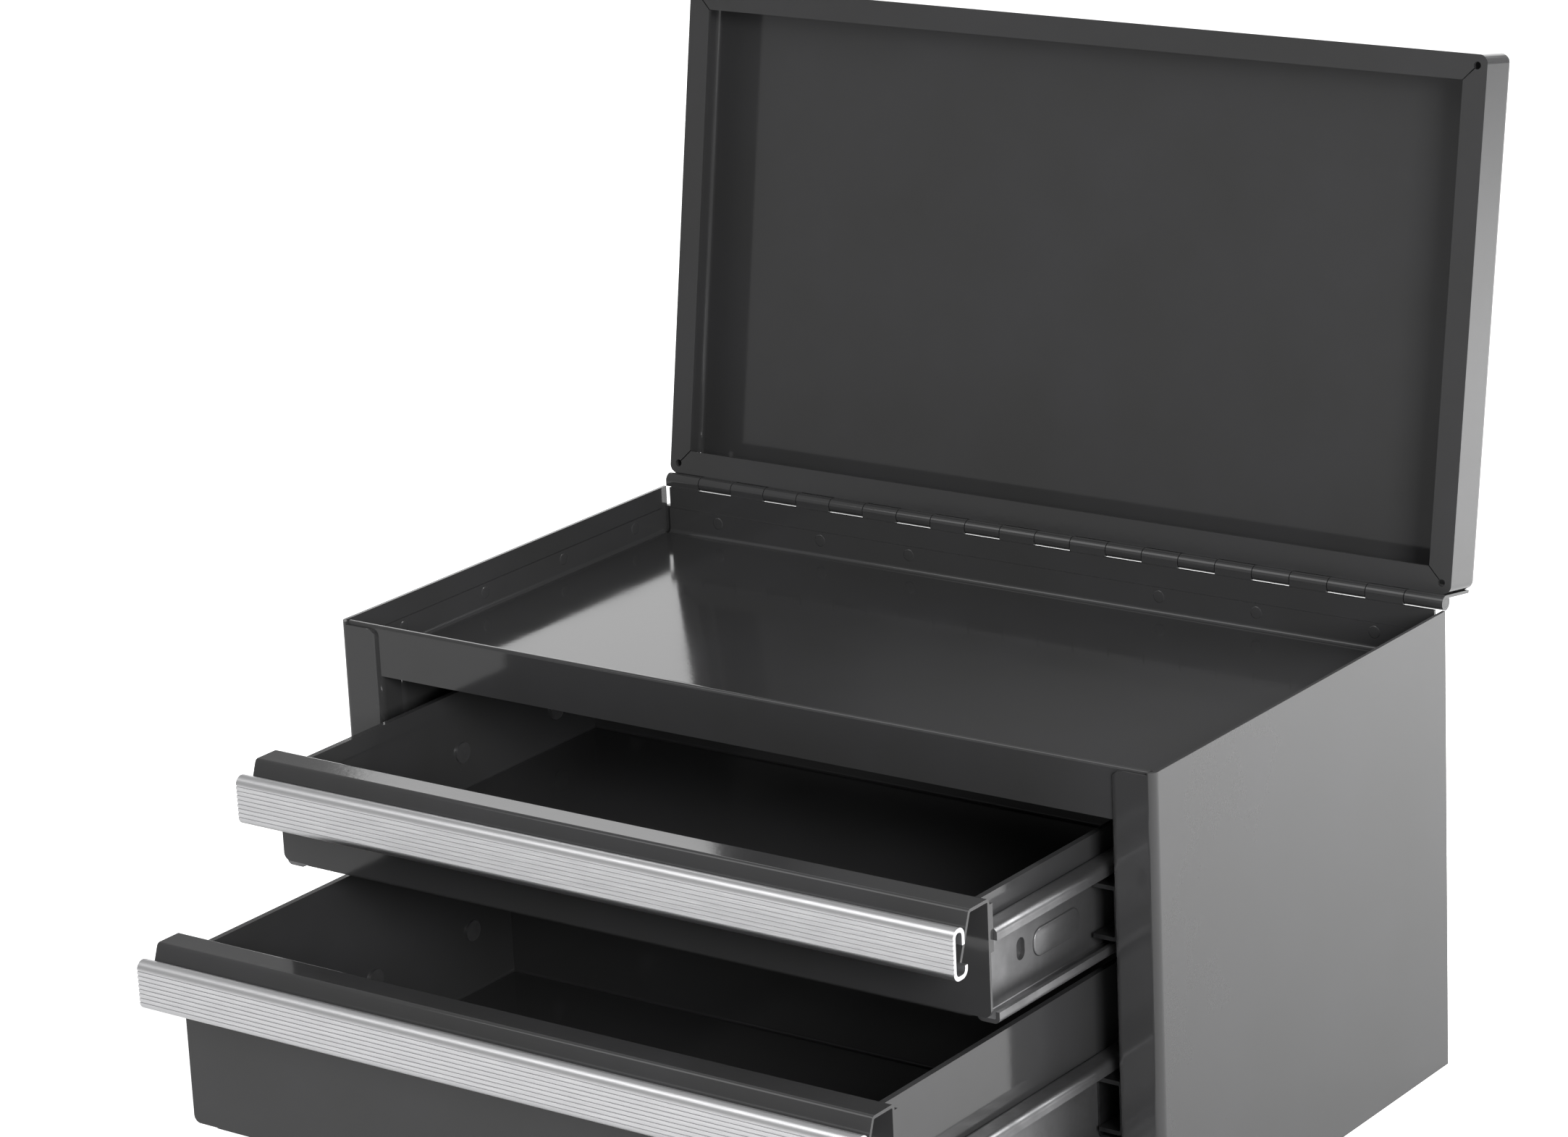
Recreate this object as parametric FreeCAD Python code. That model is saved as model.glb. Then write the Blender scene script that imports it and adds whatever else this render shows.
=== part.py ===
"""Bench-top mini tool chest: folded steel cabinet, hinged lid, open top tray and two drawers.

Millimetres. +Z is up, -Y is the front where the drawers pull out, X = 0 is the middle.
The origin is the middle of the cabinet's base. Each piece is modelled closed, then the lid is
swung open and the drawers are pulled out by the rest values at the end of the dimensions.
"""
import FreeCAD, Part
import math
import os

V = FreeCAD.Vector

# ---- driving dimensions: cabinet -----------------------------------------------------------
body_width = 277.0
body_depth = 156.0
sheet = 1.0                    # cabinet and lid steel
bend = 1.2                     # inside radius of the cabinet's folds
top_rail_height = 15.1
bottom_rail_height = 14.3
upper_front_height = 34.0
lower_front_height = 57.8
reveal = 5.6                   # gap above and below each drawer front
post_width = 14.0              # corner post, seen from the front
post_return = 9.0              # how far a post folds back into the cabinet
post_drop = 0.9                # top of a post below the cabinet's top edge
post_corner = 4.5              # rounded top corner of a post
rail_hem = 3.5
tray_sheet = 0.8
tray_wall = 8.6                # height of the tray's upturned edge
base_wall = 10.0               # upturned edge of the bottom panel
back_flange = 10.0
notch_width = 2.0              # open slit at the cabinet's rear top corners
notch_height = 6.0
seat_gap = 0.1                 # between sheets that are only laid together

# ---- lid and hinge -------------------------------------------------------------------------
lid_depth = 152.5
lid_height = 15.1
lid_rim = 7.4                  # inward rim all round the lid's open side
lid_inset = 0.2                # lid narrower than the cabinet at each side
lid_corner = 2.6               # outside radius of the lid's edges
lid_gap = 2.5                  # closed lid's rim above the cabinet's top edge
mitre_gap = 0.35
mitre_hole_radius = 1.1
hinge_inset = 1.0              # hinge shorter than the cabinet at each end
knuckle_pitch = 12.5
knuckle_gap = 0.3
barrel_radius = 2.2
hinge_leaf = 0.9
leaf_height = 13.5
leaf_notch = 3.0               # body leaf cut away behind the cabinet's corner slits
pin_radius = 1.2
pin_clearance = 0.05
hinge_rise = 1.6               # hinge axis above the cabinet's top edge

# ---- drawers -------------------------------------------------------------------------------
drawer_sheet = 0.9
drawer_bend = 0.8
corner_notch = 0.6             # small open notch down each corner of a drawer box
drawer_back_gap = 19.5         # closed drawer box to back panel
front_side_gap = 4.5           # drawer front to post
side_drop = 2.8                # drawer side below the top of the front
side_hem = 5.0
ear_drop = 1.1                 # front sheet above the bottom of the box behind it
ear_corner = 2.2
tab_height = 15.0              # back-folded edge at the top of each ear
tab_depth = 2.3
top_flange = 8.6               # flange that carries the pull
lip_length = 13.6
lip_lean = 20.0                # degrees that the lip leans forward
pull_height = 14.2
pull_reach = 16.9              # pull's face in front of the drawer's face
pull_depth = 6.3
pull_wall = 1.2
pull_radius = 1.3
pull_top_hook = 5.1
pull_bottom_hook = 3.3
pull_drop = 3.0                # top of the pull below the top of the drawer front
pull_overhang = 0.6            # pull longer than the drawer front at each end
rib_pitch = 1.3
rib_width = 0.5
rib_depth = 0.25

# ---- ball slides ---------------------------------------------------------------------------
slide_space = 10.5             # drawer side to cabinet lining
slide_height = 26.4
slide_sheet = 1.2
slide_bend = 0.5
slide_lip = 3.3
slide_end_gap = 3.1            # channel's end to the rear face of the drawer box
slide_overlap = 30.0           # how much of the channel stays on the rail at full travel
slide_setback = 3.0            # cabinet rail behind the cabinet's front
upper_slide_drop = 1.1         # channel below the bottom of the upper front
lower_slide_drop = 24.6        # channel below the top of the lower front
ball_radius = 2.0
ball_clearance = 0.1
ball_side_gap = 0.3            # balls to the channel's web and lips
ball_count = 4
ball_pitch = 6.6
cage_sheet = 0.5
cage_clearance = 0.15
rivet_radius = 2.0
rivet_head_radius = 3.1
rivet_head = 0.7
rivet_gap = 0.03
channel_rivet_front = 72.0     # behind the drawer's face
channel_rivet_rear = 16.0      # before the channel's end
rail_rivet_front = 22.0        # behind the cabinet's front
rail_rivet_rear = 21.0         # before the rail's end
slot_row = 21.6                # adjusting slot behind the drawer's face
slot_width = 3.8
slot_height = 6.2

# ---- how far the part stands open as it is stored ------------------------------------------
lid_open = 98.9                # degrees from closed
upper_out = 51.3
lower_travel_left = 3.5        # lower drawer short of its full travel

# ---- worked-out places ---------------------------------------------------------------------
half_width = body_width / 2
inner_half = half_width - sheet
front = -body_depth / 2
rear = body_depth / 2
body_height = (bottom_rail_height + top_rail_height + upper_front_height
               + lower_front_height + 3 * reveal)
opening_low = bottom_rail_height
opening_high = body_height - top_rail_height
opening_half = half_width - post_width
tray_floor = opening_high + seat_gap + tray_sheet
lower_low = opening_low + reveal
lower_high = lower_low + lower_front_height
upper_low = lower_high + reveal
upper_high = upper_low + upper_front_height
front_half = opening_half - front_side_gap
box_half = opening_half - slide_space
box_length = body_depth - sheet - drawer_back_gap
slide_depth = 2 * (slide_sheet + ball_radius + ball_side_gap)
channel_start = tab_depth + seat_gap
slide_length = box_length - channel_start - slide_end_gap
drawer_travel = slide_length - slide_overlap
lower_out = drawer_travel - lower_travel_left
channel_rivets = (channel_rivet_front, channel_start + slide_length - channel_rivet_rear)
rail_rivets = (rail_rivet_front, slide_setback + slide_length - rail_rivet_rear)
hinge_length = body_width - 2 * hinge_inset
hinge_knuckles = round(hinge_length / knuckle_pitch)
axis_y = rear + barrel_radius
axis_z = body_height + hinge_rise
rim_z = body_height + lid_gap
upper_slide = upper_low - upper_slide_drop + slide_height / 2
lower_slide = lower_high - lower_slide_drop - slide_height / 2
cage_length = slide_overlap - slide_setback + channel_start
cage_start = front + slide_setback + drawer_travel / 2


def box(x, y, z):
    """Block between three pairs of bounds, in either order."""
    (x0, x1), (y0, y1), (z0, z1) = sorted(x), sorted(y), sorted(z)
    return Part.makeBox(x1 - x0, y1 - y0, z1 - z0, V(x0, y0, z0))


def rod(centre, direction, radius, length):
    return Part.makeCylinder(radius, length, V(*centre), V(*direction))


def mirrored(shape):
    return shape.mirror(V(0, 0, 0), V(1, 0, 0))


def both_sides(name, shape):
    return {"right_" + name: shape, "left_" + name: mirrored(shape)}


def rounded_path(points, radii):
    """Edges of an open path, each inner corner rounded by its own radius."""
    edges, last = [], points[0]
    for before, corner, after, radius in zip(points, points[1:], points[2:], radii):
        back = (before - corner).normalize()
        ahead = (after - corner).normalize()
        half_angle = back.getAngle(ahead) / 2
        reach = radius / math.tan(half_angle)
        centre = corner + (back + ahead).normalize() * (radius / math.sin(half_angle))
        middle = centre + (corner - centre).normalize() * radius
        start, end = corner + back * reach, corner + ahead * reach
        edges.append(Part.makeLine(last, start))
        edges.append(Part.Arc(start, middle, end).toShape())
        last = end
    edges.append(Part.makeLine(last, points[-1]))
    return edges


def folded(path, thickness, inside_radius, place, run):
    """Bent sheet. path is one face in two dimensions; the metal lies to its left.

    A negative thickness puts the metal to the right. place turns a point of the path into
    three numbers, and run is the length along the folds.
    """
    headings = []
    for (u0, v0), (u1, v1) in zip(path, path[1:]):
        length = math.hypot(u1 - u0, v1 - v0)
        headings.append(((u1 - u0) / length, (v1 - v0) / length))
    last = len(path) - 1
    other, near_radii, far_radii = [], [], []
    for i, (u, v) in enumerate(path):
        a = headings[max(i - 1, 0)]
        b = headings[min(i, last - 1)]
        scale = thickness / (1 + a[0] * b[0] + a[1] * b[1])
        other.append((u - (a[1] + b[1]) * scale, v + (a[0] + b[0]) * scale))
        if 0 < i < last:
            metal_inside = (a[0] * b[1] - a[1] * b[0]) * thickness > 0
            near_radii.append(inside_radius + (abs(thickness) if metal_inside else 0))
            far_radii.append(inside_radius + (0 if metal_inside else abs(thickness)))
    near = [V(*place(u, v)) for u, v in path]
    far = [V(*place(u, v)) for u, v in other]
    edges = rounded_path(near, near_radii)
    edges.append(Part.makeLine(near[-1], far[-1]))
    edges += rounded_path(far[::-1], far_radii[::-1])
    edges.append(Part.makeLine(far[0], near[0]))
    return Part.Face(Part.Wire(Part.__sortEdges__(edges))).extrude(V(*run))


def pan(half, y_range, z_range, thickness, inside_radius, corner_gap):
    """Tray folded from one sheet, with four walls that stop short of the corners."""
    (y0, y1), (low, high) = y_range, z_range
    across = folded([(-half, high), (-half, low), (half, low), (half, high)], thickness,
                    inside_radius, lambda u, v: (u, y0 + corner_gap, v),
                    (0, y1 - y0 - 2 * corner_gap, 0))
    along = folded([(y0, high), (y0, low), (y1, low), (y1, high)], thickness,
                   inside_radius, lambda u, v: (-half + corner_gap, u, v),
                   (2 * (half - corner_gap), 0, 0))
    return across.fuse(along).removeSplitter()


# ---- cabinet -------------------------------------------------------------------------------
def side_panels():
    """Outer walls, each folded round the front into a corner post with a return."""
    path = [(half_width, rear), (half_width, front), (opening_half, front),
            (opening_half, front + post_return)]
    panel = folded(path, -sheet, bend, lambda u, v: (u, v, 0), (0, 0, body_height))
    fold_end = opening_half + sheet + bend
    behind = (front + sheet, front + post_return + 1)
    # the rails pass behind the post, so its return is only as tall as the drawer opening
    for span in ((-1, opening_low), (opening_high, body_height + 1)):
        panel = panel.cut(box((opening_half - 1, fold_end), behind, span))
    post_top = body_height - post_drop
    corner_z = post_top - post_corner
    flange = (front - 1, front + sheet)
    above = box((opening_half - 1, half_width - sheet - bend), flange, (post_top, body_height + 1))
    corner = box((opening_half - 1, opening_half + post_corner), flange, (corner_z, post_top + 0.1))
    keep = rod((opening_half + post_corner, front - 2, corner_z), (0, 1, 0), post_corner, sheet + 4)
    panel = panel.cut(above).cut(corner.cut(keep))
    return both_sides("side_panel", panel)


def front_rails():
    """Cross rails behind the posts: the top one hemmed, the lower one folded back."""
    face = front + sheet
    half = inner_half - bend
    plate = box((-half, half), (face, face + sheet), (opening_high, body_height))
    hem = box((-half, half), (face + sheet, face + 2 * sheet), (body_height - rail_hem, body_height))
    hemmed = plate.fuse(hem).removeSplitter()
    top_edges = [e for e in hemmed.Edges
                 if e.BoundBox.ZMin > body_height - sheet / 2 and e.Length > half]
    path = [(front + post_return, opening_low), (face, opening_low), (face, 0)]
    low = folded(path, sheet, bend, lambda u, v: (-half, u, v), (2 * half, 0, 0))
    return {"front_top_rail": hemmed.makeFillet(0.8 * sheet, top_edges), "front_bottom_rail": low}


def slide_linings():
    """Walls behind the posts that carry the slide rails, welded to the side and the back."""
    start = front + post_return + seat_gap
    end = rear - sheet
    low = sheet + base_wall + seat_gap
    path = [(inner_half - seat_gap, start), (opening_half, start), (opening_half, end),
            (inner_half - sheet - bend, end)]
    lining = folded(path, -sheet, bend, lambda u, v: (u, v, low), (0, 0, opening_high - low))
    for y, z in lining_rivet_places():
        lining = lining.cut(rod((opening_half - 1, y, z), (1, 0, 0), rivet_radius + rivet_gap, 4))
    return both_sides("slide_lining", lining)


def back_panel():
    """Rear wall with forward flanges, and a slit at each top corner."""
    low = sheet + base_wall + seat_gap
    path = [(-inner_half, rear - back_flange), (-inner_half, rear), (inner_half, rear),
            (inner_half, rear - back_flange)]
    flanged = folded(path, -sheet, bend, lambda u, v: (u, v, low),
                     (0, 0, tray_floor - tray_sheet - seat_gap - low))
    flat = box((-inner_half, inner_half), (rear - sheet, rear), (0, body_height))
    panel = flanged.fuse(flat)
    for side in (-1, 1):
        edge = side * inner_half
        panel = panel.cut(box((edge, edge - side * notch_width), (rear - sheet - 1, rear + 1),
                              (body_height - notch_height, body_height + 1)))
    return panel.removeSplitter()


def cabinet():
    y_range = (front + 2 * sheet, rear - sheet)
    corner_gap = sheet + bend
    parts = side_panels()
    parts.update(front_rails())
    parts.update(slide_linings())
    parts["back_panel"] = back_panel()
    parts["bottom_panel"] = pan(inner_half, y_range, (0, sheet + base_wall), sheet, bend, corner_gap)
    floor = tray_floor - tray_sheet
    parts["top_tray"] = pan(inner_half, y_range, (floor, floor + tray_wall), tray_sheet, bend,
                            corner_gap)
    return parts


# ---- lid and hinge, modelled closed --------------------------------------------------------
def lid_pan():
    """Five-sided shell with an inward rim, mitred and drilled at its corners."""
    half = half_width - lid_inset
    y0, y1 = rear - lid_depth, rear
    top = rim_z + lid_height
    shell = box((-half, half), (y0, y1), (rim_z, top))
    shell = shell.makeFillet(lid_corner, [e for e in shell.Edges if e.BoundBox.ZMax > rim_z + 0.5])
    hollow = box((sheet - half, half - sheet), (y0 + sheet, y1 - sheet), (rim_z + sheet, top - sheet))
    above_rim = [e for e in hollow.Edges if e.BoundBox.ZMax > rim_z + sheet + 0.5]
    hollow = hollow.makeFillet(lid_corner - sheet, above_rim)
    mouth = box((lid_rim - half, half - lid_rim), (y0 + lid_rim, y1 - lid_rim),
                (rim_z - 1, rim_z + sheet + 1))
    shell = shell.cut(hollow).cut(mouth)
    inset = lid_corner + mitre_hole_radius / 2
    for x_side in (-1, 1):
        for y_edge, y_side in ((y0, 1), (y1, -1)):
            centre = V(x_side * (half - inset), y_edge + y_side * inset, rim_z - 1)
            hole = Part.makeCylinder(mitre_hole_radius, sheet + 2, centre)
            slit = Part.makeBox(lid_rim * math.sqrt(2), mitre_gap, sheet + 2, V(0, -mitre_gap / 2, 0))
            slit.rotate(V(0, 0, 0), V(0, 0, 1), math.degrees(math.atan2(y_side, -x_side)))
            slit.translate(centre)
            shell = shell.cut(hole).cut(slit)
    return shell


def hinge():
    """Two leaves on the rear faces with alternate rolled knuckles, and their pin."""
    pitch = hinge_length / hinge_knuckles
    start = -hinge_length / 2
    clear = barrel_radius + knuckle_gap
    bore = rod((start - 1, axis_y, axis_z), (1, 0, 0), pin_radius + pin_clearance, hinge_length + 2)
    tips = (axis_z - hinge_rise - leaf_height, rim_z + lid_height - lid_corner)
    leaves = []
    for first, up in ((0, -1), (1, 1)):
        leaf = box((start, -start), (rear, rear + hinge_leaf), (axis_z + up * clear, tips[first]))
        for i in range(first, hinge_knuckles, 2):
            x0 = start + i * pitch + (knuckle_gap / 2 if i > 0 else 0)
            x1 = start + (i + 1) * pitch - (knuckle_gap / 2 if i < hinge_knuckles - 1 else 0)
            web = box((x0, x1), (rear, rear + hinge_leaf), (axis_z, axis_z + up * (clear + 1)))
            barrel = rod((x0, axis_y, axis_z), (1, 0, 0), barrel_radius, x1 - x0)
            leaf = leaf.fuse(web).fuse(barrel)
        leaves.append(leaf.cut(bore).removeSplitter())
    for end in (start, -start):
        slit = box((end, end * (1 - leaf_notch / -start)), (rear - 1, rear + hinge_leaf + 1),
                   (body_height - notch_height, body_height))
        leaves[0] = leaves[0].cut(slit)
    pin = rod((start, axis_y, axis_z), (1, 0, 0), pin_radius, hinge_length)
    return {"hinge_leaf_body": leaves[0], "hinge_leaf_lid": leaves[1], "hinge_pin": pin}


# ---- drawers, modelled closed --------------------------------------------------------------
def drawer_box(low, high, slide_z):
    """Floor and four walls from one sheet, with the tops of the side walls hemmed inwards."""
    t = drawer_sheet
    side_top = high - side_drop
    back = front + box_length
    shape = pan(box_half, (front + t, back), (low, side_top), t, drawer_bend, corner_notch)
    hem = box((box_half - 2 * t, box_half - t), (front + 5 * t, back - 4 * t),
              (side_top - side_hem, side_top))
    shape = shape.fuse(hem).fuse(mirrored(hem)).removeSplitter()
    for y in channel_rivets:
        shape = shape.cut(rod((-half_width, front + y, slide_z), (1, 0, 0),
                              rivet_radius + rivet_gap, body_width))
    return shape


def drawer_front(low, high):
    """Front sheet on the box: ears, back-folded tabs, top flange and the lip for the pull."""
    t = drawer_sheet
    lean = math.radians(lip_lean)
    bottom = low + ear_drop
    path = [(front + t, bottom), (front + t, high), (front - top_flange, high),
            (front - top_flange - lip_length * math.sin(lean), high - lip_length * math.cos(lean))]
    plate = folded(path, t, drawer_bend / 2, lambda u, v: (-front_half, u, v), (2 * front_half, 0, 0))
    for side in (-1, 1):
        edge = side * front_half
        corner_x = edge - side * ear_corner
        corner = box((edge + side, corner_x), (front - 1, front + t + 1),
                     (bottom - 1, bottom + ear_corner))
        keep = rod((corner_x, front - 2, bottom + ear_corner), (0, 1, 0), ear_corner, t + 4)
        tab = box((edge, edge - side * t), (front, front + tab_depth),
                  (high - tab_height, high - 2 * t))
        plate = plate.cut(corner.cut(keep)).fuse(tab)
    return plate.removeSplitter()


def pull(high):
    """Aluminium C section with fine ribs along its face, hooked over the drawer's lip."""
    lean = math.tan(math.radians(lip_lean))
    top = high - pull_drop
    bottom = top - pull_height
    face = front - pull_reach
    back = face + pull_depth
    hook_end = top - pull_top_hook
    hook_back = front - top_flange - (high - hook_end) * lean - seat_gap
    half = front_half + pull_overhang
    path = [(hook_back, hook_end), (hook_back, top), (face, top), (face, bottom), (back, bottom),
            (back, bottom + pull_bottom_hook)]
    shape = folded(path, pull_wall, pull_radius, lambda u, v: (-half, u, v), (2 * half, 0, 0))
    flat = pull_height - 2 * (pull_wall + pull_radius)
    count = int(flat / rib_pitch)
    middle = (top + bottom) / 2
    for i in range(count + 1):
        z = middle + (i - count / 2) * rib_pitch
        shape = shape.cut(box((-half - 1, half + 1), (face - 1, face + rib_depth),
                              (z - rib_width / 2, z + rib_width / 2)))
    return shape


def rivet(x, y, z, towards, length, heads):
    """Rivet along X from x. heads says whether it has a head at its start and at its end."""
    shape = rod((x, y, z), (towards, 0, 0), rivet_radius, length)
    if heads[0]:
        shape = shape.fuse(rod((x, y, z), (-towards, 0, 0), rivet_head_radius, rivet_head))
    if heads[1]:
        shape = shape.fuse(rod((x + towards * length, y, z), (towards, 0, 0), rivet_head_radius,
                               rivet_head))
    return shape.removeSplitter()


def lining_rivet_places():
    return [(front + y, z) for y in rail_rivets for z in (upper_slide, lower_slide)]


def channel(slide_z):
    """Outer slide member on the drawer's side, open towards the cabinet."""
    x0, x1 = box_half, box_half + slide_depth
    low, high = slide_z - slide_height / 2, slide_z + slide_height / 2
    path = [(x1, low + slide_lip), (x1, low), (x0, low), (x0, high), (x1, high), (x1, high - slide_lip)]
    shape = folded(path, -slide_sheet, slide_bend, lambda u, v: (u, front + channel_start, v),
                   (0, slide_length, 0))
    for y in channel_rivets:
        shape = shape.cut(rod((x0 - 1, front + y, slide_z), (1, 0, 0), rivet_radius + rivet_gap, 4))
    span = (slot_height - slot_width) / 2
    slot = box((x0 - 1, x0 + slide_sheet + 1), (front + slot_row - slot_width / 2,
                                                front + slot_row + slot_width / 2),
               (slide_z - span, slide_z + span))
    for z in (slide_z - span, slide_z + span):
        slot = slot.fuse(rod((x0 - 1, front + slot_row, z), (1, 0, 0), slot_width / 2, slide_sheet + 2))
    return shape.cut(slot)


def ball_height():
    """Height of a ball row above or below the middle of its slide."""
    return slide_height / 2 - slide_sheet - ball_clearance - ball_radius


def rail(slide_z):
    """Inner slide member on the cabinet's lining, open towards the drawer."""
    x0 = box_half + slide_sheet + 2 * cage_clearance + cage_sheet + 0.5
    reach = ball_height() - ball_radius - ball_clearance
    low, high = slide_z - reach, slide_z + reach
    path = [(x0, low), (opening_half, low), (opening_half, high), (x0, high)]
    shape = folded(path, slide_sheet, slide_bend, lambda u, v: (u, front + slide_setback, v),
                   (0, slide_length, 0))
    for y in rail_rivets:
        shape = shape.cut(rod((x0, front + y, slide_z), (1, 0, 0), rivet_radius + rivet_gap,
                              slide_space))
    return shape


def ball_places(slide_z):
    inner, outer = box_half + slide_sheet, box_half + slide_depth - slide_sheet
    middle = cage_start + cage_length / 2
    return [V((inner + outer) / 2, middle + (i - (ball_count - 1) / 2) * ball_pitch,
              slide_z + up * ball_height())
            for up in (-1, 1) for i in range(ball_count)]


def cage(slide_z):
    """Thin C strip that keeps the balls apart and rolls along at half the drawer's travel."""
    x0 = box_half + slide_sheet + cage_clearance
    x1 = box_half + slide_depth - slide_sheet - cage_clearance
    reach = ball_height() + cage_sheet / 2
    path = [(x1, slide_z - reach), (x0, slide_z - reach), (x0, slide_z + reach), (x1, slide_z + reach)]
    shape = folded(path, -cage_sheet, slide_bend, lambda u, v: (u, cage_start, v), (0, cage_length, 0))
    pocket = ball_radius + ball_clearance
    for place in ball_places(slide_z):
        shape = shape.cut(Part.makeCylinder(pocket, 2 * pocket, place - V(0, 0, pocket)))
    return shape


def balls(slide_z):
    spheres = [Part.makeSphere(ball_radius, place) for place in ball_places(slide_z)]
    return Part.makeCompound(spheres)


def channel_rivet_set(slide_z):
    start = box_half - drawer_sheet
    length = drawer_sheet + slide_sheet
    return [rivet(side * start, front + y, slide_z, side, length, (True, False))
            for side in (-1, 1) for y in channel_rivets]


def rail_rivet_set():
    start = opening_half - slide_sheet
    length = slide_sheet + sheet
    return Part.makeCompound([rivet(side * start, y, z, side, length, (True, True))
                              for side in (-1, 1) for y, z in lining_rivet_places()])


def drawer(level, low, high, slide_z):
    parts = {level + "_drawer_box": drawer_box(low, high, slide_z),
             level + "_drawer_front": drawer_front(low, high),
             level + "_pull": pull(high),
             level + "_slide_rivets": Part.makeCompound(channel_rivet_set(slide_z))}
    parts.update(both_sides(level + "_slide_channel", channel(slide_z)))
    return parts


def cages(level, slide_z):
    parts = both_sides(level + "_ball_cage", cage(slide_z))
    parts.update(both_sides(level + "_slide_balls", balls(slide_z)))
    return parts


# ---- the whole chest, opened to its rest values --------------------------------------------
def swing_open(shape):
    copy = shape.copy()
    copy.rotate(V(0, axis_y, axis_z), V(1, 0, 0), -lid_open)
    return copy


def pulled(shape, distance):
    copy = shape.copy()
    copy.translate(V(0, -distance, 0))
    return copy


def build():
    parts = cabinet()
    hinge_parts = hinge()
    parts["hinge_leaf_body"] = hinge_parts["hinge_leaf_body"]
    parts["hinge_pin"] = hinge_parts["hinge_pin"]
    parts["hinge_leaf_lid"] = swing_open(hinge_parts["hinge_leaf_lid"])
    parts["lid_pan"] = swing_open(lid_pan())
    parts["rail_rivets"] = rail_rivet_set()
    levels = (("upper", upper_low, upper_high, upper_slide, upper_out),
              ("lower", lower_low, lower_high, lower_slide, lower_out))
    for level, low, high, slide_z, out in levels:
        parts.update(both_sides(level + "_slide_rail", rail(slide_z)))
        for name, shape in drawer(level, low, high, slide_z).items():
            parts[name] = pulled(shape, out)
        for name, shape in cages(level, slide_z).items():
            parts[name] = pulled(shape, out / 2)
    return parts


os.makedirs("parts", exist_ok=True)
for node, shape in sorted(build().items()):
    shape.exportStep("parts/" + node + ".step")
    bounds = shape.BoundBox
    print("%-28s solids %2d volume %9.1f valid %s x %.1f..%.1f y %.1f..%.1f z %.1f..%.1f" % (
        node, len(shape.Solids), shape.Volume, shape.isValid(), bounds.XMin, bounds.XMax,
        bounds.YMin, bounds.YMax, bounds.ZMin, bounds.ZMax))
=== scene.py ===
import math

import bmesh
import bpy
from mathutils import Matrix, Vector


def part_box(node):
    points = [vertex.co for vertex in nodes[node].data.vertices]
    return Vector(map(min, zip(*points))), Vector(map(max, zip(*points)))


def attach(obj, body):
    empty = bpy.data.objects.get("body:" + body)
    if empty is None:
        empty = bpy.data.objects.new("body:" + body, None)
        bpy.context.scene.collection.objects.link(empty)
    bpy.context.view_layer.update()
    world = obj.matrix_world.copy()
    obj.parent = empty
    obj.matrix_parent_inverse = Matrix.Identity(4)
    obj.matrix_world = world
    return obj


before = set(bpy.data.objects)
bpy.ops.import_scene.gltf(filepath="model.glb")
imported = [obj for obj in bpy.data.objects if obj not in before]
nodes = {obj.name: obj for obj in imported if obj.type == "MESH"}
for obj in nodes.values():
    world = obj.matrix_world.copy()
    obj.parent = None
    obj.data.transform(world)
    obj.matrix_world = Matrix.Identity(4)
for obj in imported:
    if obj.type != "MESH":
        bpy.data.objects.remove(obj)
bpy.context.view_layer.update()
scene = bpy.context.scene
scene.view_settings.view_transform = "Standard"
mm = 0.001
quarterTurn = math.radians(90)
print("frame loaded:", len(nodes), "CAD nodes")


cameraValues = {
    "place": (0.7955, -1.1198, 0.5766),
    "heading": 36.57,       # degrees to the left of straight ahead
    "downTilt": 17.12,      # degrees
    "roll": -2.686,         # degrees
    "lens": 115.65,         # mm
    "sensor": 36.0,         # mm
    "farthest": 50,         # metres
}


def addCamera(values):
    data = bpy.data.cameras.new("camera")
    data.lens = values["lens"]
    data.sensor_width = values["sensor"]
    data.clip_end = values["farthest"]
    camera = bpy.data.objects.new("camera", data)
    turn = (Matrix.Rotation(math.radians(values["heading"]), 4, "Z")
            @ Matrix.Rotation(math.radians(90 - values["downTilt"]), 4, "X")
            @ Matrix.Rotation(math.radians(values["roll"]), 4, "Z"))
    camera.matrix_world = Matrix.Translation(values["place"]) @ turn
    scene.collection.objects.link(camera)
    scene.camera = camera


def linearColour(hexValue):
    # the sRGB curve, from a stored shade to the light it stands for
    channels = [int(hexValue[i:i + 2], 16) / 255 for i in (1, 3, 5)]
    return [c / 12.92 if c <= 0.04045 else ((c + 0.055) / 1.055) ** 2.4 for c in channels] + [1.0]


def addNode(tree, kind, settings=None, links=None):
    # settings: property or input name -> value; links: input -> output socket
    node = tree.nodes.new(kind)
    for key, value in (settings or {}).items():
        if isinstance(key, int) or key in node.inputs:
            node.inputs[key].default_value = value
        else:
            setattr(node, key, value)
    for key, socket in (links or {}).items():
        tree.links.new(socket, node.inputs[key])
    return node


def newMaterial(name):
    material = bpy.data.materials.new(name)
    material.use_nodes = True
    material.node_tree.nodes.clear()
    return material, material.node_tree


def finishMaterial(tree, shader):
    output = addNode(tree, "ShaderNodeOutputMaterial")
    tree.links.new(shader.outputs[0], output.inputs["Surface"])


floorValues = {
    "reach": 12,            # metres from the middle to each edge
    "colour": "#f2f2f2",
    "roughness": 0.9,
    "specular": 0.1,
    "glow": "#ffffff",
    "glowStrength": 0.75,   # only where the camera sees the floor, so the ground reads as plain white
}


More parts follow.
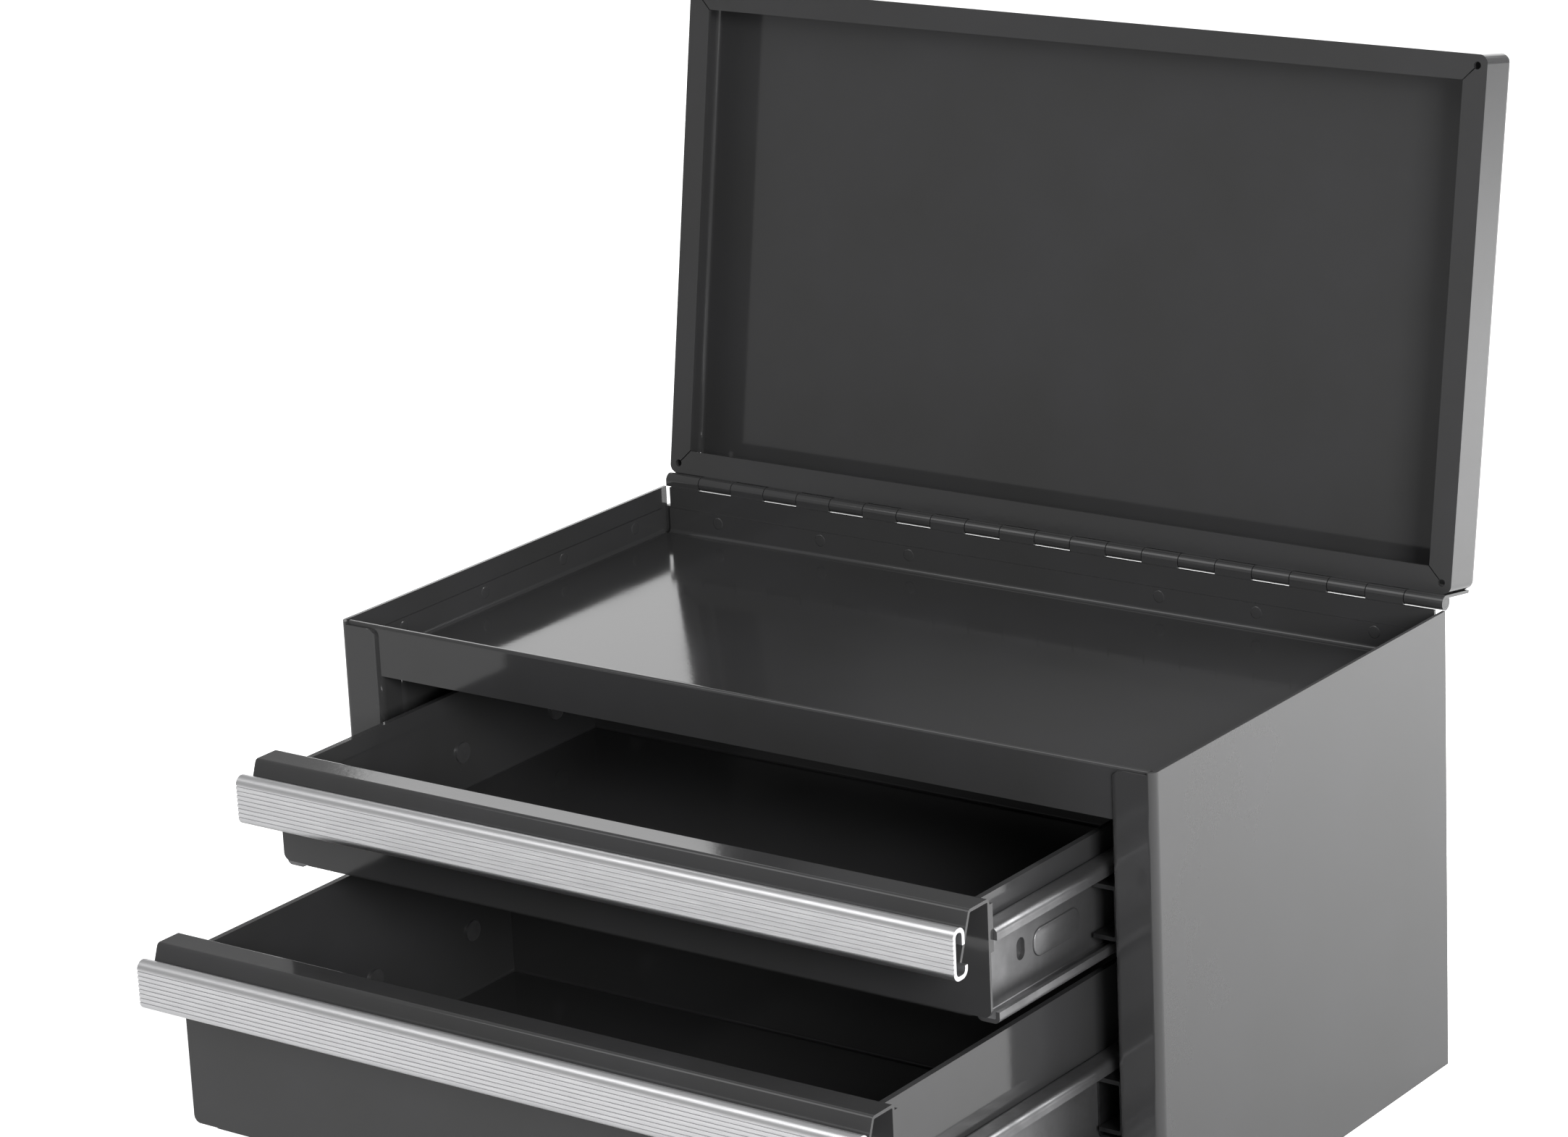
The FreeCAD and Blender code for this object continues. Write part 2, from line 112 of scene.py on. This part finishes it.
def addFloor(values):
    material, tree = newMaterial("paintedStudioFloor")
    seen = addNode(tree, "ShaderNodeLightPath")
    glow = addNode(tree, "ShaderNodeMath", {"operation": "MULTIPLY", 1: values["glowStrength"]},
                   {0: seen.outputs["Is Camera Ray"]})
    shader = addNode(tree, "ShaderNodeBsdfPrincipled", {
        "Base Color": linearColour(values["colour"]), "Roughness": values["roughness"],
        "Specular IOR Level": values["specular"], "Emission Color": linearColour(values["glow"])},
        {"Emission Strength": glow.outputs[0]})
    finishMaterial(tree, shader)
    mesh = bpy.data.meshes.new("studioFloor")
    sheet = bmesh.new()
    bmesh.ops.create_grid(sheet, x_segments=1, y_segments=1, size=values["reach"])
    sheet.to_mesh(mesh)
    sheet.free()
    mesh.materials.append(material)
    floor = bpy.data.objects.new("studioFloor", mesh)
    scene.collection.objects.link(floor)


worldValues = {"colour": "#ffffff", "strength": 0.4}


def addWorld(values):
    world = bpy.data.worlds.new("studioWorld")
    world.use_nodes = True
    background = world.node_tree.nodes["Background"]
    background.inputs["Color"].default_value = linearColour(values["colour"])
    background.inputs["Strength"].default_value = values["strength"]
    scene.world = world


# places, aims and sizes in metres, power in watts
lampValues = {
    # over the floor behind the right side, which the side mirrors
    "rearRight": {"place": (0.62, 0.62, 0.62), "aim": (0.62, 0.62, 0.0), "size": (0.8, 0.8), "power": 17},
    # beyond the right front, which lights both the front and the right side
    "frontRight": {"place": (1.5, -1.05, 0.72), "aim": (0.0, 0.0, 0.1), "size": (0.6, 0.6), "power": 34},
    # over the floor in front, which the front mirrors
    "frontTop": {"place": (-0.45, -0.85, 1.2), "aim": (-0.35, -0.6, 0.0), "size": (1.0, 0.8), "power": 4.5},
    # tall, beyond the lid's left edge, mirrored in the tray's floor
    "rearLeft": {"place": (-0.83, 1.93, 0.7), "aim": (0.0, 0.0, 0.1), "size": (1.7, 1.4), "power": 11},
}


def addLamp(name, values):
    data = bpy.data.lights.new(name, "AREA")
    data.shape = "RECTANGLE"
    data.size, data.size_y = values["size"]
    data.energy = values["power"]
    lamp = bpy.data.objects.new(name, data)
    lamp.location = values["place"]
    aim = Vector(values["aim"]) - Vector(values["place"])
    lamp.rotation_euler = aim.to_track_quat("-Z", "Y").to_euler()
    scene.collection.objects.link(lamp)


addCamera(cameraValues)
addFloor(floorValues)
addWorld(worldValues)
for name, values in lampValues.items():
    addLamp(name, values)
print("studio ready")


noiseBand = (0.3, 0.7)      # most of the noise's values lie between these
mixSockets = {"share": 0, "first": 6, "second": 7, "result": 2}     # the mix node's sockets for colours


def surfaceNoise(tree, place, grain, detail, stretch=(1, 1, 1)):
    # grain: size of the pattern in mm
    mapping = addNode(tree, "ShaderNodeMapping", {"Scale": stretch}, {"Vector": place})
    return addNode(tree, "ShaderNodeTexNoise", {"Scale": 1 / (grain * mm), "Detail": detail},
                   {"Vector": mapping.outputs[0]}).outputs[0]


def spread(tree, source, low, high):
    # noise value -> number between low and high
    return addNode(tree, "ShaderNodeMapRange", {
        "From Min": noiseBand[0], "From Max": noiseBand[1], "To Min": low, "To Max": high},
        {"Value": source}).outputs[0]


def blend(tree, source, first, second):
    # noise value -> colour between first and second
    return addNode(tree, "ShaderNodeMix", {
        "data_type": "RGBA", mixSockets["first"]: linearColour(first),
        mixSockets["second"]: linearColour(second)},
        {mixSockets["share"]: spread(tree, source, 0.0, 1.0)}).outputs[mixSockets["result"]]


def relief(tree, source, strength, height):
    # noise value -> bumps, with their height in mm
    return addNode(tree, "ShaderNodeBump", {"Strength": strength, "Distance": height * mm},
                   {"Height": source}).outputs[0]


def objectPlace(tree):
    return addNode(tree, "ShaderNodeTexCoord").outputs["Object"]


charcoalValues = {
    "colour": "#323232",
    "worn": "#353536",
    "roughness": (0.07, 0.12),
    "ior": 1.5,
    "peelSize": 1.6,        # mm, orange peel of the sprayed paint
    "peelDetail": 1.0,
    "peelHeight": 0.012,    # mm
    "peelStrength": 0.5,
    "patchSize": 35.0,      # mm, where hands have dulled the gloss
    "patchDetail": 4.0,
}


def charcoalEnamel(values):
    # near-black sprayed enamel: clear mirror at a low angle, softened by faint orange peel and dull patches
    material, tree = newMaterial("charcoalEnamel")
    place = objectPlace(tree)
    patches = surfaceNoise(tree, place, values["patchSize"], values["patchDetail"])
    peel = surfaceNoise(tree, place, values["peelSize"], values["peelDetail"])
    finishMaterial(tree, addNode(tree, "ShaderNodeBsdfPrincipled", {"IOR": values["ior"]}, {
        "Base Color": blend(tree, patches, values["colour"], values["worn"]),
        "Roughness": spread(tree, patches, *values["roughness"]),
        "Normal": relief(tree, peel, values["peelStrength"], values["peelHeight"])}))
    return material


aluminiumValues = {
    "colour": "#e4e4e5",
    "shade": "#cfcfd1",
    "roughness": (0.28, 0.4),
    "metallic": 1.0,
    "lineSize": 0.09,       # mm, drawing lines along the bar
    "lineLength": 90,       # times the line's size
    "lineDetail": 3.0,
    "lineHeight": 0.01,     # mm
    "lineStrength": 0.25,
}


def drawnAluminium(values):
    # satin anodised bar: fine lines along its length that stretch the highlight upwards
    material, tree = newMaterial("drawnAnodisedAluminium")
    along = (1 / values["lineLength"], 1, 1)
    lines = surfaceNoise(tree, objectPlace(tree), values["lineSize"], values["lineDetail"], along)
    finishMaterial(tree, addNode(tree, "ShaderNodeBsdfPrincipled", {"Metallic": values["metallic"]}, {
        "Base Color": blend(tree, lines, values["colour"], values["shade"]),
        "Roughness": spread(tree, lines, *values["roughness"]),
        "Normal": relief(tree, lines, values["lineStrength"], values["lineHeight"])}))
    return material


zincValues = {
    "colour": "#7e7e7f",
    "stain": "#686869",
    "roughness": (0.32, 0.5),
    "metallic": 0.85,
    "cloudSize": 9.0,       # mm, clouds of the plating
    "cloudDetail": 5.0,
    "rollSize": 0.25,       # mm, rolling lines along the strip
    "rollStretch": (1, 0.03, 1),
    "rollDetail": 2.0,
    "rollHeight": 0.01,     # mm
    "rollStrength": 0.2,
}
# zinc darkened as painted shade for the slide rails and cages, which sit in the dark gap behind the posts
paintedShadeZincValues = {
    **zincValues,
    "colour": "#3f3f40",
    "stain": "#2c2c2d",
    "roughness": (0.4, 0.55),
    "cloudSize": 5.0,       # mm, darker clouds of the plating
}


def zincPlate(name, values):
    # dull grey plating with clouds and faint rolling lines, duller than bare steel
    material, tree = newMaterial(name)
    place = objectPlace(tree)
    clouds = surfaceNoise(tree, place, values["cloudSize"], values["cloudDetail"])
    rolls = surfaceNoise(tree, place, values["rollSize"], values["rollDetail"], values["rollStretch"])
    finishMaterial(tree, addNode(tree, "ShaderNodeBsdfPrincipled", {"Metallic": values["metallic"]}, {
        "Base Color": blend(tree, clouds, values["colour"], values["stain"]),
        "Roughness": spread(tree, clouds, *values["roughness"]),
        "Normal": relief(tree, rolls, values["rollStrength"], values["rollHeight"])}))
    return material


bearingValues = {
    "colour": "#c9cacc",
    "roughness": (0.05, 0.16),
    "metallic": 1.0,
    "smearSize": 0.8,       # mm
    "smearDetail": 2.0,
}


def polishedSteel(values):
    # ground and polished balls with a thin smear of grease
    material, tree = newMaterial("polishedBearingSteel")
    smears = surfaceNoise(tree, objectPlace(tree), values["smearSize"], values["smearDetail"])
    finishMaterial(tree, addNode(tree, "ShaderNodeBsdfPrincipled", {
        "Base Color": linearColour(values["colour"]), "Metallic": values["metallic"]},
        {"Roughness": spread(tree, smears, *values["roughness"])}))
    return material


finishes = {
    "enamel": charcoalEnamel(charcoalValues),
    "aluminium": drawnAluminium(aluminiumValues),
    "zinc": zincPlate("zincPlatedSteel", zincValues),
    # the inner slide members and cages get zinc darkened as painted shade, so they stay dark in the gap
    # behind the posts
    "paintedShadeZinc": zincPlate("paintedShadeZincPlatedSteel", paintedShadeZincValues),
    "bearing": polishedSteel(bearingValues),
}
for name, node in nodes.items():
    if name.endswith("pull"):
        finish = "aluminium"
    elif name.endswith("balls"):
        finish = "bearing"
    elif "cage" in name or "slide_rail" in name:
        finish = "paintedShadeZinc"
    elif "rivets" in name or "slide_channel" in name:
        finish = "zinc"
    else:
        finish = "enamel"
    node.data.materials.clear()
    node.data.materials.append(finishes[finish])
print("finishes assigned")


def roundEdges(sheet, edges, radius, steps):
    # radius: mm
    bmesh.ops.bevel(sheet, geom=edges, offset=radius * mm, offset_type="OFFSET", segments=steps,
                    profile=0.5, affect="EDGES", material=-1, clamp_overlap=True)


def keepPiece(name, sheet, finish, body):
    # places are already in the mesh, so the object stays at the origin
    mesh = bpy.data.meshes.new(name)
    sheet.to_mesh(mesh)
    sheet.free()
    mesh.materials.append(finishes[finish])
    for face in mesh.polygons:
        face.use_smooth = True
    piece = bpy.data.objects.new(name, mesh)
    scene.collection.objects.link(piece)
    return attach(piece, body)


weldValues = {
    "rearPlaces": (-116.5, -77.5, -44.5, 44.5, 77.5, 116.5),    # mm from the middle
    "sidePlaces": (-52, -14, 24, 60),                           # mm from the middle
    "height": 128.9,        # mm above the base
    "radius": 2.1,          # mm
    "taper": 0.8,           # radius of the raised end, times the other's
    "rise": 0.14,           # mm
    "wall": 0.8,            # mm, sheet of the tray
    "sides": 40,
    "rim": 0.1,             # mm, radius of the rim
    "rimSteps": 3,
}


def addWeldMarks(values):
    # shallow rounds left by the spot welder on the tray's upturned edge, under the paint
    low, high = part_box("top_tray")
    wall = values["wall"] * mm
    spots = [(Vector((x * mm, high.y - wall, 0)), Matrix.Rotation(quarterTurn, 4, "X"))
             for x in values["rearPlaces"]]
    for side in (-1, 1):
        spots += [(Vector((side * (high.x - wall), y * mm, 0)),
                   Matrix.Rotation(-side * quarterTurn, 4, "Y")) for y in values["sidePlaces"]]
    sheet = bmesh.new()
    for place, turn in spots:
        place.z = values["height"] * mm
        made = bmesh.ops.create_cone(
            sheet, cap_ends=True, segments=values["sides"], radius1=values["radius"] * mm,
            radius2=values["radius"] * values["taper"] * mm, depth=2 * values["rise"] * mm,
            matrix=Matrix.Translation(place) @ turn)
        # the edges round the two caps, the only faces with more than four corners
        rims = {edge for vert in made["verts"] for edge in vert.link_edges if len(edge.link_faces) == 2
                and max(len(face.verts) for face in edge.link_faces) > 4}
        roundEdges(sheet, list(rims), values["rim"], values["rimSteps"])
    keepPiece("trayWeldMarks", sheet, "enamel", "cabinet")


embossValues = {
    "start": 25.0,          # mm behind the channel's front end
    "length": 22.0,         # mm
    "low": -5.0,            # mm from the middle of the channel
    "high": 3.0,
    "rise": 0.55,           # mm
    "web": 1.2,             # mm, sheet of the channel
    "corner": 3.4,          # mm, radius of the land's corners
    "cornerSteps": 8,
    "rim": 0.45,            # mm, radius of the rim
    "rimSteps": 3,
    "flat": 0.01,           # mm, an edge that runs less than this across the chest lies in a face
}


def runAcross(edge):
    # how far the edge runs from side to side of the chest
    return abs(edge.verts[0].co.x - edge.verts[1].co.x)


def addSlideEmboss(values, level, side, word):
    # raised land pressed into the channel's web behind its adjusting slot
    low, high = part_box(word + "_" + level + "_slide_channel")
    web = (high.x if side < 0 else low.x) + side * values["web"] * mm
    middle = (low.z + high.z) / 2 + (values["low"] + values["high"]) / 2 * mm
    size = Vector((2 * values["rise"], values["length"], values["high"] - values["low"])) * mm
    centre = Vector((web, low.y + (values["start"] + values["length"] / 2) * mm, middle))
    sheet = bmesh.new()
    bmesh.ops.create_cube(sheet, size=1,
                          matrix=Matrix.Translation(centre) @ Matrix.Diagonal((*size, 1)))
    flat = values["flat"] * mm
    corners = [edge for edge in sheet.edges if runAcross(edge) > flat]
    roundEdges(sheet, corners, values["corner"], values["cornerSteps"])
    rims = [edge for edge in sheet.edges if runAcross(edge) < flat]
    roundEdges(sheet, rims, values["rim"], values["rimSteps"])
    keepPiece(word + level.title() + "SlideEmboss", sheet, "zinc", level + "_drawer")


addWeldMarks(weldValues)
for level in ("upper", "lower"):
    for side, word in ((-1, "left"), (1, "right")):
        addSlideEmboss(embossValues, level, side, word)
print("details added")
